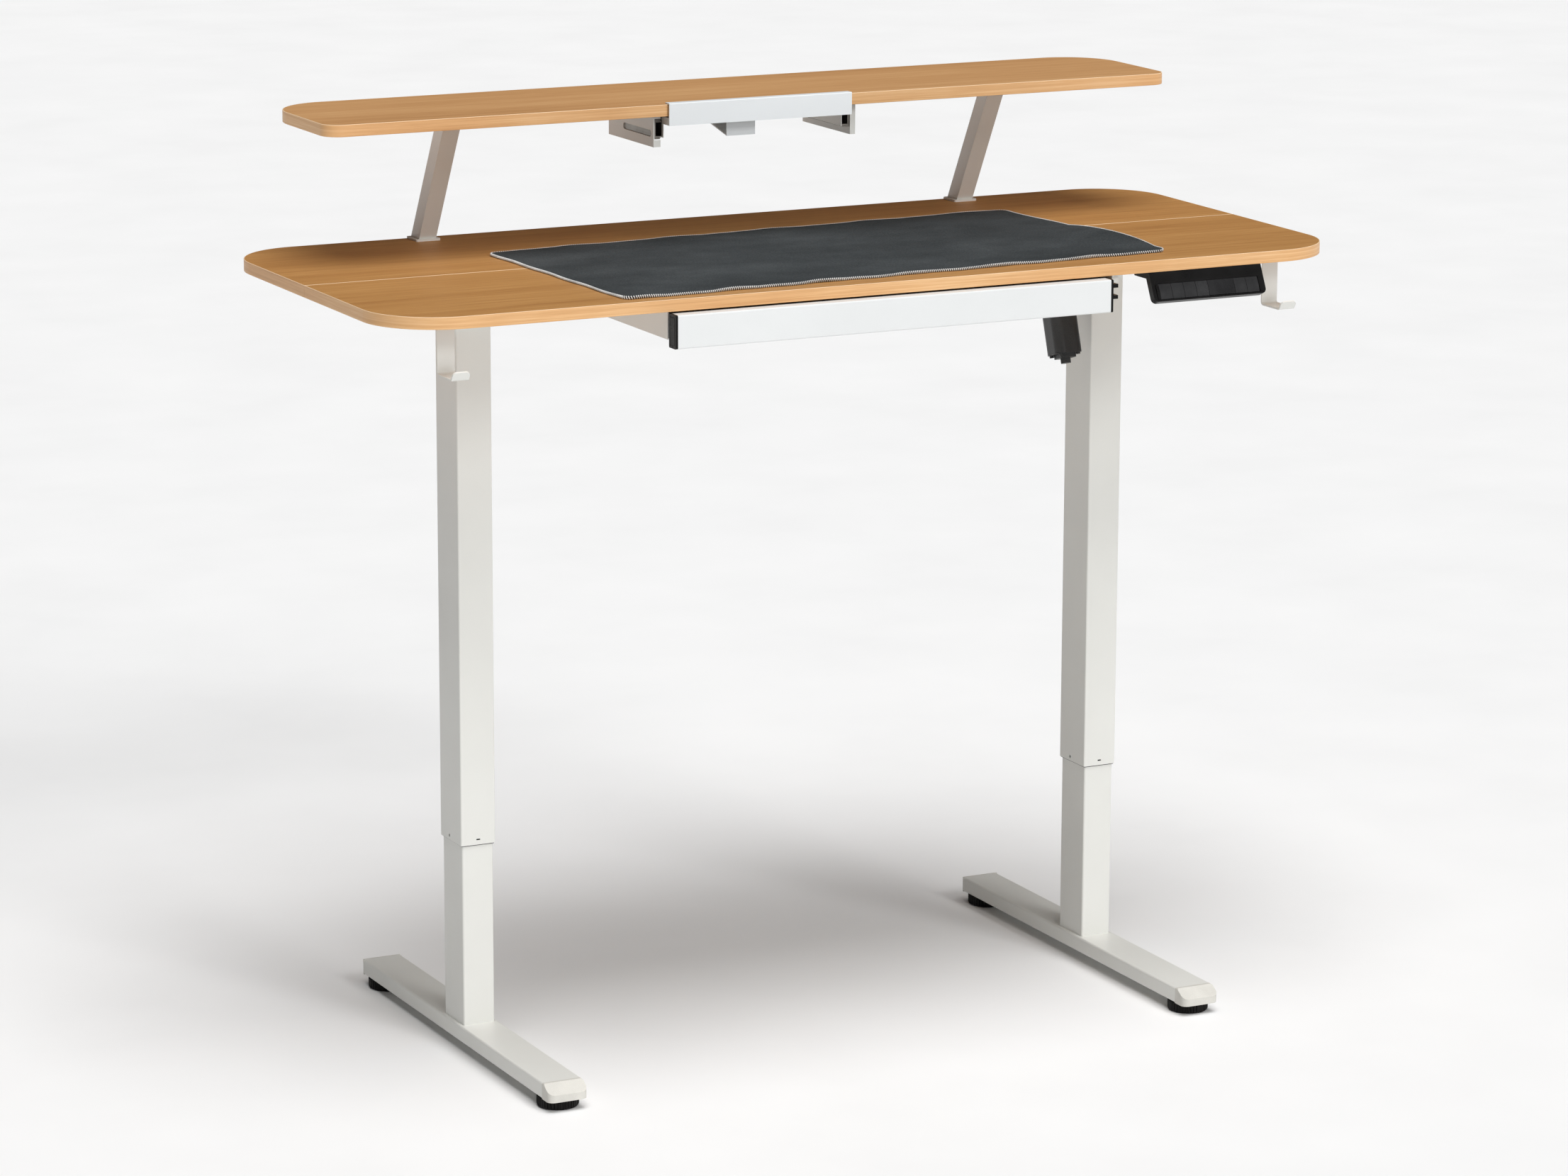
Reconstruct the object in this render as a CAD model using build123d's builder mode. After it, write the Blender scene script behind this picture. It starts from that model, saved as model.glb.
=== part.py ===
from build123d import *
import os
from math import cos, hypot, radians, sin

os.makedirs("parts", exist_ok=True)

# A height adjustable standing desk: two telescopic legs, a two-board desktop, a raised rear
# shelf, two drawers, bag hooks, a keypad and an electric lift drive.
# Sizes are in mm. X runs left to right, Y front to back, Z up. The origin is on the floor
# under the middle of the desktop.

# Desktop
desk_w = 1400
desk_d = 600
desk_t = 16
desk_top_z = 1056
desk_corner_r = 100
seam_gap = 0.4
edging_t = 1
edging_round = 0.6
desk_under_z = desk_top_z - desk_t
desk_front_y = -desk_d / 2
desk_back_y = desk_d / 2

# Raised shelf and its two leaning posts
shelf_w = desk_w - 130
shelf_d = 225
shelf_t = 16
shelf_rise = 194
shelf_front_r = 25
shelf_back_r = 80
shelf_top_z = desk_top_z + shelf_rise
shelf_under_z = shelf_top_z - shelf_t
shelf_front_y = desk_back_y - shelf_d
shelf_mid_y = desk_back_y - shelf_d / 2
post_x = desk_w / 2 - 285
post_base = 36
post_plate_t = 3
post_w = 25
post_cut_d = 28.4
post_t = 1.5
post_foot_y = desk_back_y - 19

# Feet
foot_w = 56
foot_h = 22
foot_t = 2
foot_r = 3
foot_under_z = 15
foot_top_z = foot_under_z + foot_h
foot_front_y = desk_front_y - 2
foot_back_y = desk_back_y + 11
cap_l = 24
cap_back_t = 2
cap_flat = 5
cap_nose_h = 10
cap_corner_r = 9
plug_gap = 0.1
pad_r = 28
pad_h = 14.5
pad_front_y = desk_front_y + 10
pad_back_y = desk_back_y - 11
stud_r = 4
stud_gap = 0.3
stud_l = 15.5
weld_nut_r = 9
weld_nut_h = 6

# Telescopic columns
column_x = desk_w / 2 - 222
outer_w = 50
outer_d = 70
outer_r = 2
tube_t = 1.5
tube_gap = 1
slide_gap = 0.05
inner_w = outer_w - 2 * (tube_t + tube_gap)
inner_d = outer_d - 2 * (tube_t + tube_gap)
inner_r = 2.5
column_bottom_z = 288
column_top_z = desk_under_z - 50
sleeve_h = 100
sleeve_inset = -1.2
lift_floor_gap = 16
lift_down = column_bottom_z - foot_top_z - lift_floor_gap
lift_up = 225
inner_top_z = column_top_z - lift_down - 55

# Lift drive
screw_r = 8
screw_gap = 0.3
nut_h = 20
screw_bottom_z = inner_top_z - nut_h - lift_up - 15
housing_w = 70
housing_d = 80
housing_t = 2.5
arm_t = 4
arm_under_z = desk_under_z - arm_t
shaft_z = column_top_z + 20
shaft_af = 8
gear_far = 14
gear_near = 10
gear_clear = 0.6
gear_teeth = 16
motor_x = column_x - 81
motor_w = 41
motor_wall = 3
motor_tilt = 18
motor_l = 108
motor_start = 25
wheel_r = 14
worm_r = 6
worm_drop = 0.5
worm_offset = wheel_r + worm_r + worm_drop
gearbox_w = 50

# Under-desktop frame
arm_w = 60
arm_end_w = 38
arm_l = 400
bar_w = 20
bar_h = 24
bar_t = 1.5
bar_y = 60
bar_l = 2 * column_x + 44

# Wood screws that hold plates under the boards
wood_screw_r = 2
wood_screw_head_r = 4
wood_screw_head_h = 2.2
wood_screw_l = 11
wood_screw_gap = 0.3

# Lower drawer
drawer_x0 = 160 - column_x
drawer_x1 = column_x - 153
drawer_front_y = desk_front_y - 15
drawer_back_y = drawer_front_y + 235
drawer_face_h = 44
drawer_face_d = 20
drawer_face_top_z = desk_under_z - 2.5
drawer_face_t = 1.5
drawer_lip = 8
drawer_cap_w = 3.5
drawer_box_h = 35.5
drawer_box_top_z = desk_under_z - 6
sheet_t = 1
hanger_t = 1.5
hanger_flange = 20
hanger_drop = 37.5
hanger_lip = 8.5
bumper_l = 12
bumper_h = 5

# Telescopic drawer slides, three nested channels
slide_w = 12.7
slide_h = 27
slide_web = 1.2
slide_play = 0.4
slide_z = desk_under_z - 36
slide_l = 200

# Shelf drawer
tray_x = -8
tray_w = 270.6
tray_l = 150
tray_floor_drop = 12.5
tray_wall = 10.5
tray_skirt_drop = 31
lid_gap = 0.5
plate_t = 1.5
plate_left = 0.9
plate_right = 4.1
shelf_slide_drop = 33
shelf_slide_l = 126
pull_x = -27.5
pull_w = 43
pull_l = 62
pull_t = 1.2
pull_h = 21.5
pull_back_h = 8.5

# Bag hooks
hook_x = desk_w / 2 - 92
hook_w = 24
hook_t = 2.5
hook_h = 67
hook_plate_y = desk_front_y + 50
hook_flange = 35
hook_foot = 43
hook_lip = 12
hook_bend_r = 3

# Keypad
panel_x = desk_w / 2 - 225.5
panel_w = 174
panel_h = 41
panel_t = 10
panel_flange = 38
panel_flange_h = 9
panel_r = 7
panel_lean = 26
key_w = 18.4
key_h = 21
key_t = 4
key_proud = 1.2
key_gap = 0.5
key_travel = 1
key_top = 17
display_w = 40
end_w = 4
pocket_d = 4.2

# Control box
box_x = desk_w / 2 - 500
box_w = 240
box_d = 90
box_h = 32
box_y = 125
box_t = 2
inlet_block = 48

# Desk mat
mat_w = 800
mat_d = 400
mat_t = 3
mat_r = 12
mat_turn = 2.5
mat_x = 24
mat_y = desk_front_y + 238

sides = (("left", -1), ("right", 1))


def save(builder, name):
    """Label a finished piece and write its STEP file."""
    builder.part.label = name
    export_step(builder.part, f"parts/{name}.step")


def block(x0, x1, y0, y1, z0, z1, mode=Mode.ADD):
    """A box between two opposite corners, in the part being built."""
    with Locations(((x0 + x1) / 2, (y0 + y1) / 2, (z0 + z1) / 2)):
        Box(abs(x1 - x0), abs(y1 - y0), abs(z1 - z0), mode=mode)


def upright(x, y, z0, z1, radius, mode=Mode.ADD):
    """A vertical cylinder between two heights, in the part being built."""
    with Locations((x, y, (z0 + z1) / 2)):
        Cylinder(radius, z1 - z0, mode=mode)


# Where the wood screws go. Each point is the underside of the plate the screw holds.
arm_screws = []
for side in (-1, 1):
    for y in (-180, -120, 120, 180):
        arm_screws.append((side * column_x, y, arm_under_z))

hook_screws = []
for side in (-1, 1):
    for step in (10, 24):
        hook_screws.append((side * hook_x, hook_plate_y + step, desk_under_z - hook_t))

# The left hanger stands behind the drawer front's end; the right one stands just past it
hanger_left_x = drawer_x0 + 0.5
hanger_right_x = drawer_x1 + slide_w - 1
box_left_x = hanger_left_x + hanger_t + slide_w
box_right_x = hanger_right_x - slide_w
hanger_front_y = drawer_front_y + drawer_face_d + 5
hanger_back_y = drawer_back_y - 5
hanger_screws = []
for y in (hanger_front_y + 25, (hanger_front_y + hanger_back_y) / 2, hanger_back_y - 15):
    hanger_screws.append((hanger_left_x + 13, y, desk_under_z - hanger_t))
    hanger_screws.append((hanger_right_x + hanger_t + 10, y, desk_under_z - hanger_t))

tray_left_x = tray_x - tray_w / 2
tray_right_x = tray_x + tray_w / 2
shelf_hanger_left_x = tray_left_x - slide_w
shelf_hanger_right_x = tray_right_x + slide_w
shelf_hanger_front_y = shelf_front_y + 17
shelf_hanger_back_y = shelf_hanger_front_y + 144
shelf_screws = []
for y in (shelf_hanger_front_y + 30, shelf_hanger_back_y - 30):
    shelf_screws.append((shelf_hanger_left_x - 11, y, shelf_under_z - hanger_t))
    shelf_screws.append((shelf_hanger_right_x + 11, y, shelf_under_z - hanger_t))

desk_screws = arm_screws + hook_screws + hanger_screws


def screw_holes(points):
    """Clearance holes for wood screws, through a plate or blind into a board."""
    for x, y, z in points:
        upright(x, y, z - 1, z + wood_screw_l, wood_screw_r + wood_screw_gap, Mode.SUBTRACT)


with BuildPart() as wood_screws:
    for x, y, z in desk_screws + shelf_screws:
        upright(x, y, z - wood_screw_head_h, z, wood_screw_head_r)
        upright(x, y, z, z + wood_screw_l - 1, wood_screw_r)
    heads = wood_screws.edges().filter_by(GeomType.CIRCLE)
    fillet(heads.filter_by(lambda e: e.radius > 3 and e.is_closed).group_by(Axis.Z)[0], 1.2)
    for x, y, z in desk_screws + shelf_screws:
        block(x - 2.4, x + 2.4, y - 0.4, y + 0.4, z - 3, z - 1.2, Mode.SUBTRACT)
        block(x - 0.4, x + 0.4, y - 2.4, y + 2.4, z - 3, z - 1.2, Mode.SUBTRACT)
save(wood_screws, "wood_screws")


# Feet: a flat steel tube on each side with plastic ends
def foot(side):
    x = side * column_x
    half = foot_w / 2
    with BuildPart() as beam:
        block(x - half, x + half, foot_front_y, foot_back_y, foot_under_z, foot_top_z)
        fillet(beam.edges().filter_by(Axis.Y), foot_r)
        wall = half - foot_t
        inside_z = foot_under_z + foot_t
        block(x - wall, x + wall, foot_front_y, foot_back_y, inside_z, foot_top_z - foot_t,
              Mode.SUBTRACT)
        for y in (pad_front_y, pad_back_y):
            upright(x, y, inside_z, inside_z + weld_nut_h, weld_nut_r)
            upright(x, y, foot_under_z - 1, foot_top_z - foot_t, stud_r + stud_gap,
                    Mode.SUBTRACT)
    return beam


def foot_caps(side):
    x = side * column_x
    half = foot_w / 2
    nose_y = foot_front_y - cap_l
    plug = half - foot_t - plug_gap
    plug_z0 = foot_under_z + foot_t + plug_gap
    plug_z1 = foot_top_z - foot_t - plug_gap
    with BuildPart() as caps:
        with BuildSketch(Plane.YZ.offset(x)):
            Polygon(
                (foot_front_y, foot_under_z),
                (foot_front_y, foot_top_z),
                (foot_front_y - cap_flat, foot_top_z),
                (nose_y, foot_under_z + cap_nose_h),
                (nose_y, foot_under_z),
                align=None,
            )
        extrude(amount=half, both=True)
        fillet(caps.edges().filter_by(Axis.Z).group_by(Axis.Y)[0], cap_corner_r)
        fillet(caps.edges().filter_by(Axis.Y).group_by(Axis.Z)[-1], foot_r - 0.5)
        block(x - half, x + half, foot_back_y, foot_back_y + cap_back_t, foot_under_z, foot_top_z)
        for start, step in ((foot_front_y, 14), (foot_back_y, -14)):
            block(x - plug, x + plug, start, start + step, plug_z0, plug_z1)
            block(x - plug + 2, x + plug - 2, start, start + step, plug_z0 + 2, plug_z1 - 2,
                  Mode.SUBTRACT)
            ears = weld_nut_r + 2
            block(x - ears, x + ears, start, start + step, plug_z0, plug_z1, Mode.SUBTRACT)
    return caps


def leveling_pad(side, y):
    x = side * column_x
    with BuildPart() as pad:
        upright(x, y, 0, pad_h, pad_r)
        fillet(pad.edges().group_by(Axis.Z)[0], 4)
        fillet(pad.edges().group_by(Axis.Z)[-1], 1)
        with Locations((x, y, pad_h / 2)):
            with PolarLocations(pad_r + 0.4, 38):
                Cylinder(1.1, pad_h + 1, mode=Mode.SUBTRACT)
        upright(x, y, pad_h, pad_h + stud_l, stud_r)
        chamfer(pad.edges().group_by(Axis.Z)[-1], 0.8)
    return pad


for name, side in sides:
    save(foot(side), f"foot_{name}")
    save(foot_caps(side), f"foot_caps_{name}")
    save(leveling_pad(side, pad_front_y), f"leveling_pad_{name}_front")
    save(leveling_pad(side, pad_back_y), f"leveling_pad_{name}_back")


# Columns: the inner tube stands on the foot, the outer tube carries the desktop
def inner_column(side):
    with BuildPart() as tube:
        with BuildSketch(Plane.XY.offset(foot_top_z)):
            with Locations((side * column_x, 0)):
                RectangleRounded(inner_w, inner_d, inner_r)
                RectangleRounded(inner_w - 2 * tube_t, inner_d - 2 * tube_t, inner_r - tube_t,
                                 mode=Mode.SUBTRACT)
        extrude(amount=inner_top_z - foot_top_z)
    return tube


def outer_column(side):
    x = side * column_x
    with BuildPart() as tube:
        with BuildSketch(Plane.XY.offset(column_bottom_z)):
            with Locations((x, 0)):
                RectangleRounded(outer_w, outer_d, outer_r)
                RectangleRounded(outer_w - 2 * tube_t, outer_d - 2 * tube_t, outer_r - tube_t,
                                 mode=Mode.SUBTRACT)
        extrude(amount=column_top_z - column_bottom_z)
        # The slot and the hole that the glide sleeve snaps into
        front = -outer_d / 2
        slot_z = column_bottom_z + 7
        block(x - 2.75, x + 2.75, front - 1, front + tube_t, slot_z - 1, slot_z + 1,
              Mode.SUBTRACT)
        hole_x = x - outer_w / 2 + tube_t / 2
        with Locations(Location((hole_x, 5, column_bottom_z + 6), (0, 90, 0))):
            Cylinder(2.2, 3, mode=Mode.SUBTRACT)
    return tube


def lead_nut(side):
    gap = tube_t
    with BuildPart() as nut:
        with BuildSketch(Plane.XY.offset(inner_top_z - nut_h)):
            with Locations((side * column_x, 0)):
                RectangleRounded(inner_w - 2 * gap, inner_d - 2 * gap, inner_r - tube_t)
                Circle(screw_r + screw_gap, mode=Mode.SUBTRACT)
        extrude(amount=nut_h)
    return nut


with BuildPart() as glide_sleeves:
    with BuildSketch(Plane.XY.offset(column_bottom_z + sleeve_inset)):
        with Locations((-column_x, 0), (column_x, 0)):
            RectangleRounded(outer_w - 2 * tube_t, outer_d - 2 * tube_t, outer_r - tube_t)
        with Locations((-column_x, 0), (column_x, 0)):
            RectangleRounded(inner_w + 2 * slide_gap, inner_d + 2 * slide_gap, 2,
                             mode=Mode.SUBTRACT)
    extrude(amount=sleeve_h)
save(glide_sleeves, "glide_sleeves")


def gear_housing(side):
    x = side * column_x
    half_w = housing_w / 2
    half_d = housing_d / 2
    with BuildPart() as housing:
        block(x - half_w, x + half_w, -half_d, half_d, column_top_z, arm_under_z)
        fillet(housing.edges().filter_by(Axis.Z), 5)
        wall_w = half_w - housing_t
        wall_d = half_d - housing_t
        block(x - wall_w, x + wall_w, -wall_d, wall_d, column_top_z + housing_t,
              arm_under_z - housing_t, Mode.SUBTRACT)
        upright(x, 0, column_top_z - 1, column_top_z + housing_t + 1, screw_r + 2, Mode.SUBTRACT)
        with Locations(Location((x - side * half_w, 0, shaft_z), (0, 90, 0))):
            Cylinder(6, 3 * housing_t, mode=Mode.SUBTRACT)
    return housing


def bevel_gear(bore_r):
    """A bevel gear about Z, its large end at Z 0 and its small end up."""
    large_r = gear_far - gear_clear
    depth = gear_far - gear_near
    with BuildPart() as gear:
        with BuildSketch(Plane.XZ):
            Polygon((0, 0), (large_r, 0), (large_r - depth, depth), (0, depth), align=None)
        revolve(axis=Axis.Z)
        with Locations((0, 0, depth / 2)):
            with PolarLocations(large_r - depth / 2, gear_teeth):
                with Locations(Location((0, 0, 0), (0, 45, 0))):
                    Box(10, 1.5, 2, mode=Mode.SUBTRACT)
        with Locations((0, 0, -4)):
            Cylinder(7, 8)
        if bore_r:
            with BuildSketch(Plane.XY.offset(-10)):
                RegularPolygon(bore_r, 6, major_radius=False)
            extrude(amount=20, mode=Mode.SUBTRACT)
    return gear


def lead_screw(side):
    x = side * column_x
    gear_z = shaft_z - gear_far
    with BuildPart() as screw:
        upright(x, 0, screw_bottom_z, gear_z, screw_r)
        chamfer(screw.edges().group_by(Axis.Z)[0], 1)
        with Locations((x, 0, gear_z)):
            add(bevel_gear(0).part)
    return screw


for name, side in sides:
    save(inner_column(side), f"column_inner_{name}")
    save(outer_column(side), f"column_outer_{name}")
    save(lead_nut(side), f"lead_nut_{name}")
    save(gear_housing(side), f"gear_housing_{name}")
    save(lead_screw(side), f"lead_screw_{name}")


# Hex shaft across the desk, with a bevel pinion at each end and the motor's worm wheel
shaft_end_x = column_x - gear_near - 2
with BuildPart() as hex_shaft:
    with BuildSketch(Plane.YZ.offset(-shaft_end_x)):
        with Locations((0, shaft_z)):
            RegularPolygon(shaft_af / 2, 6, major_radius=False)
    extrude(amount=2 * shaft_end_x)
save(hex_shaft, "hex_shaft")

pinion_x = column_x - gear_far
with BuildPart() as drive_gears:
    pinion = bevel_gear(shaft_af / 2).part
    right_end = Plane(origin=(pinion_x, 0, shaft_z), x_dir=(0, 1, 0), z_dir=(1, 0, 0))
    left_end = Plane(origin=(-pinion_x, 0, shaft_z), x_dir=(0, 1, 0), z_dir=(-1, 0, 0))
    with Locations(right_end, left_end):
        add(pinion)
    with BuildSketch(Plane.YZ.offset(motor_x - 7)):
        with Locations((0, shaft_z)):
            Circle(wheel_r)
            with PolarLocations(wheel_r, 24):
                Circle(0.7, mode=Mode.SUBTRACT)
            RegularPolygon(shaft_af / 2, 6, major_radius=False, mode=Mode.SUBTRACT)
    extrude(amount=14)
save(drive_gears, "drive_gears")

# Motor: hangs from the gearbox on the right, leaning forward
tilt = radians(motor_tilt)
worm_y = -worm_offset * cos(tilt)
worm_z = shaft_z + worm_offset * sin(tilt)
motor_plane = Plane(
    origin=(motor_x, worm_y, worm_z), x_dir=(1, 0, 0), z_dir=(0, -sin(tilt), -cos(tilt))
)
motor_end = motor_start + motor_l
gearbox_half = gearbox_w / 2

with BuildPart() as motor_housing:
    block(motor_x - gearbox_half, motor_x + gearbox_half, -40, 18, column_top_z - 5, arm_under_z)
    fillet(motor_housing.edges().filter_by(Axis.X), 5)
    with BuildSketch(motor_plane.offset(motor_start)):
        RectangleRounded(motor_w, motor_w, 12)
    extrude(amount=motor_l)
    with BuildSketch(motor_plane.offset(motor_end)):
        RectangleRounded(24, 24, 3)
    extrude(amount=6)
    with BuildSketch(motor_plane.offset(motor_end + 6)):
        RegularPolygon(8, 6)
    extrude(amount=7)
    with BuildSketch(motor_plane.offset(motor_end)):
        with GridLocations(motor_w - 14, motor_w - 14, 2, 2):
            Circle(3)
    extrude(amount=3)
    with BuildSketch(motor_plane.offset(motor_start + 5)):
        Circle(motor_w / 2 - motor_wall)
    extrude(amount=motor_l - 10, mode=Mode.SUBTRACT)
    with BuildSketch(motor_plane.offset(-14)):
        Circle(worm_r + 2)
    extrude(amount=motor_start + 20, mode=Mode.SUBTRACT)
    with BuildSketch(Plane.YZ.offset(motor_x - 8)):
        with Locations((0, shaft_z)):
            Circle(wheel_r + 1.5)
    extrude(amount=16, mode=Mode.SUBTRACT)
    with BuildSketch(Plane.YZ.offset(motor_x - gearbox_half)):
        with Locations((0, shaft_z)):
            Circle(6)
    extrude(amount=gearbox_w, mode=Mode.SUBTRACT)
save(motor_housing, "motor_housing")

with BuildPart() as motor_can:
    with BuildSketch(motor_plane.offset(motor_start + 9)):
        Circle(motor_w / 2 - motor_wall - 1)
    extrude(amount=motor_l - 14)
    chamfer(motor_can.edges().filter_by(GeomType.CIRCLE), 1)
save(motor_can, "motor_can")

with BuildPart() as motor_worm:
    with BuildSketch(motor_plane.offset(-13)):
        Circle(3)
    extrude(amount=motor_start + 19.5)
    with BuildSketch(motor_plane.offset(-10)):
        Circle(worm_r)
    extrude(amount=20)
save(motor_worm, "motor_worm")

# Arms and crossbars that carry the boards
with BuildPart() as side_arms:
    with BuildSketch(Plane.XY.offset(arm_under_z)):
        with Locations((-column_x, 0), (column_x, 0)):
            Polygon(
                (-arm_end_w / 2, -arm_l / 2),
                (arm_end_w / 2, -arm_l / 2),
                (arm_w / 2, -arm_l / 4),
                (arm_w / 2, arm_l / 4),
                (arm_end_w / 2, arm_l / 2),
                (-arm_end_w / 2, arm_l / 2),
                (-arm_w / 2, arm_l / 4),
                (-arm_w / 2, -arm_l / 4),
                align=None,
            )
        with Locations((-column_x, -150), (-column_x, 150), (column_x, -150), (column_x, 150)):
            SlotOverall(18, 6, rotation=90, mode=Mode.SUBTRACT)
    extrude(amount=arm_t)
    fillet(side_arms.edges().filter_by(Axis.Z).group_by(SortBy.LENGTH)[0], 3)
    screw_holes(arm_screws)
save(side_arms, "side_arms")

with BuildPart() as crossbars:
    bar_mid_z = arm_under_z - bar_h / 2
    with BuildSketch(Plane.YZ.offset(-bar_l / 2)):
        with Locations((-bar_y, bar_mid_z), (bar_y, bar_mid_z)):
            RectangleRounded(bar_w, bar_h, 2)
        with Locations((-bar_y, bar_mid_z), (bar_y, bar_mid_z)):
            Rectangle(bar_w - 2 * bar_t, bar_h - 2 * bar_t, mode=Mode.SUBTRACT)
    extrude(amount=bar_l)
    # The strap that the gearbox hangs from
    strap_y = bar_y + bar_w / 2
    block(motor_x - gearbox_half, motor_x + gearbox_half, -strap_y, strap_y, arm_under_z,
          desk_under_z)
save(crossbars, "crossbars")


# Desktop boards, each with a thin band round its edge
def board_outline(y0, y1):
    """One board's outline: a slice of the whole desktop's rounded rectangle."""
    with BuildSketch(mode=Mode.PRIVATE) as outline:
        RectangleRounded(desk_w, desk_d, desk_corner_r)
        with Locations((0, (y0 + y1) / 2)):
            Rectangle(desk_w, y1 - y0, mode=Mode.INTERSECT)
    return outline.sketch


def board_core(outline, under_z, thickness, screws):
    with BuildPart() as core:
        with BuildSketch(Plane.XY.offset(under_z)):
            add(outline)
            offset(amount=-edging_t, kind=Kind.INTERSECTION, mode=Mode.REPLACE)
        extrude(amount=thickness)
        screw_holes(screws)
    return core


def board_band(outline, under_z, thickness):
    with BuildPart() as band:
        with BuildSketch(Plane.XY.offset(under_z)):
            add(outline)
        extrude(amount=thickness)
        fillet(band.faces().filter_by(Axis.Z).edges(), edging_round)
        with BuildSketch(Plane.XY.offset(under_z)):
            add(outline)
            offset(amount=-edging_t, kind=Kind.INTERSECTION, mode=Mode.REPLACE)
        extrude(amount=thickness, mode=Mode.SUBTRACT)
    return band


front_outline = board_outline(desk_front_y, -seam_gap / 2)
rear_outline = board_outline(seam_gap / 2, desk_back_y)
front_screws = [point for point in desk_screws if point[1] < 0]
rear_screws = [point for point in desk_screws if point[1] > 0]
save(board_core(front_outline, desk_under_z, desk_t, front_screws), "desktop_front_board")
save(board_core(rear_outline, desk_under_z, desk_t, rear_screws), "desktop_rear_board")

with BuildPart() as desktop_edging:
    add(board_band(front_outline, desk_under_z, desk_t).part)
    add(board_band(rear_outline, desk_under_z, desk_t).part)
save(desktop_edging, "desktop_edging")

with BuildSketch(mode=Mode.PRIVATE) as shelf_outline:
    with Locations((0, shelf_mid_y)):
        Rectangle(shelf_w, shelf_d)
    fillet(shelf_outline.vertices().group_by(Axis.Y)[0], shelf_front_r)
    fillet(shelf_outline.vertices().group_by(Axis.Y)[-1], shelf_back_r)

save(board_core(shelf_outline.sketch, shelf_under_z, shelf_t, shelf_screws), "shelf_board")
save(board_band(shelf_outline.sketch, shelf_under_z, shelf_t), "shelf_edging")


# Shelf posts: a square tube leaning forward between two plates
def shelf_post(side):
    x = side * post_x
    rise = shelf_under_z - desk_top_z - 2 * post_plate_t
    lean = post_foot_y - shelf_mid_y
    with BuildPart() as post:
        with BuildSketch(Plane.XY.offset(desk_top_z)):
            with Locations((x, post_foot_y)):
                RectangleRounded(post_base, post_base, 3)
        extrude(amount=post_plate_t)
        with BuildSketch(Plane.XY.offset(desk_top_z + post_plate_t)):
            with Locations((x, post_foot_y)):
                Rectangle(post_w, post_cut_d)
                Rectangle(post_w - 2 * post_t, post_cut_d - 2.27 * post_t, mode=Mode.SUBTRACT)
        extrude(amount=hypot(lean, rise), dir=(0, -lean, rise))
        with BuildSketch(Plane.XY.offset(shelf_under_z - post_plate_t)):
            with Locations((x, shelf_mid_y)):
                RectangleRounded(60, 40, 4)
        extrude(amount=post_plate_t)
    return post


for name, side in sides:
    save(shelf_post(side), f"shelf_post_{name}")

# Desk mat, lying a little askew
with BuildPart() as desk_mat:
    with BuildSketch(Plane.XY.offset(desk_top_z)):
        with Locations(Location((mat_x, mat_y, 0), (0, 0, mat_turn))):
            RectangleRounded(mat_w, mat_d, mat_r)
    extrude(amount=mat_t)
save(desk_mat, "desk_mat")

# Control box under the rear board, with a mains inlet in its back face
with BuildPart() as control_box:
    back_y = box_y + box_d / 2
    block(box_x - box_w / 2, box_x + box_w / 2, box_y - box_d / 2, back_y,
          desk_under_z - box_h, desk_under_z)
    fillet(control_box.edges().filter_by(Axis.Z), 5)
    fillet(control_box.faces().sort_by(Axis.Z)[0].edges(), 1.5)
    left_x = box_x - box_w / 2
    block(left_x + inlet_block, box_x + box_w / 2 - box_t, box_y - box_d / 2 + box_t,
          back_y - box_t, desk_under_z - box_h + box_t, desk_under_z, Mode.SUBTRACT)
    inlet_x = left_x + inlet_block / 2
    inlet_z = desk_under_z - box_h / 2
    with BuildSketch(Plane(origin=(inlet_x, back_y, inlet_z), x_dir=(-1, 0, 0), z_dir=(0, 1, 0))):
        RectangleRounded(27, 19, 3)
    extrude(amount=-16, mode=Mode.SUBTRACT)
    for pin_x, pin_z in ((-7, -2), (0, 2), (7, -2)):
        block(inlet_x + pin_x - 1, inlet_x + pin_x + 1, back_y - 16, back_y - 2,
              inlet_z + pin_z - 2, inlet_z + pin_z + 2)
save(control_box, "control_box")

# Bag hooks, one bent strip at each end of the desk
with BuildPart() as hooks:
    foot_z = desk_under_z - hook_h + hook_t
    tip_y = hook_plate_y - hook_foot
    lip_y = tip_y - hook_lip * cos(radians(60))
    lip_z = foot_z + hook_lip * sin(radians(60))
    for side in (-1, 1):
        with BuildSketch(Plane.YZ.offset(side * hook_x)):
            with BuildLine():
                FilletPolyline(
                    (hook_plate_y + hook_flange, desk_under_z),
                    (hook_plate_y, desk_under_z),
                    (hook_plate_y, foot_z),
                    (tip_y, foot_z),
                    (lip_y, lip_z),
                    radius=hook_bend_r,
                )
                offset(amount=hook_t, side=Side.LEFT)
            make_face()
        extrude(amount=hook_w / 2, both=True)
    lip_corners = hooks.edges().filter_by(lambda e: abs(e.length - hook_t) < 0.01)
    fillet(lip_corners.group_by(Axis.Y)[0], 6)
    screw_holes(hook_screws)
save(hooks, "hooks")

# Keypad: a sloping face under the front edge, with a row of keys and a display
lean = radians(panel_lean)
panel_plane = Plane(
    origin=(panel_x, desk_front_y, desk_under_z), x_dir=(1, 0, 0), z_dir=(0, -cos(lean), sin(lean))
)
strip_w = 6 * key_w + display_w + 7 * key_gap
strip_x0 = -strip_w / 2
strip_y = -key_top - key_h / 2

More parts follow.
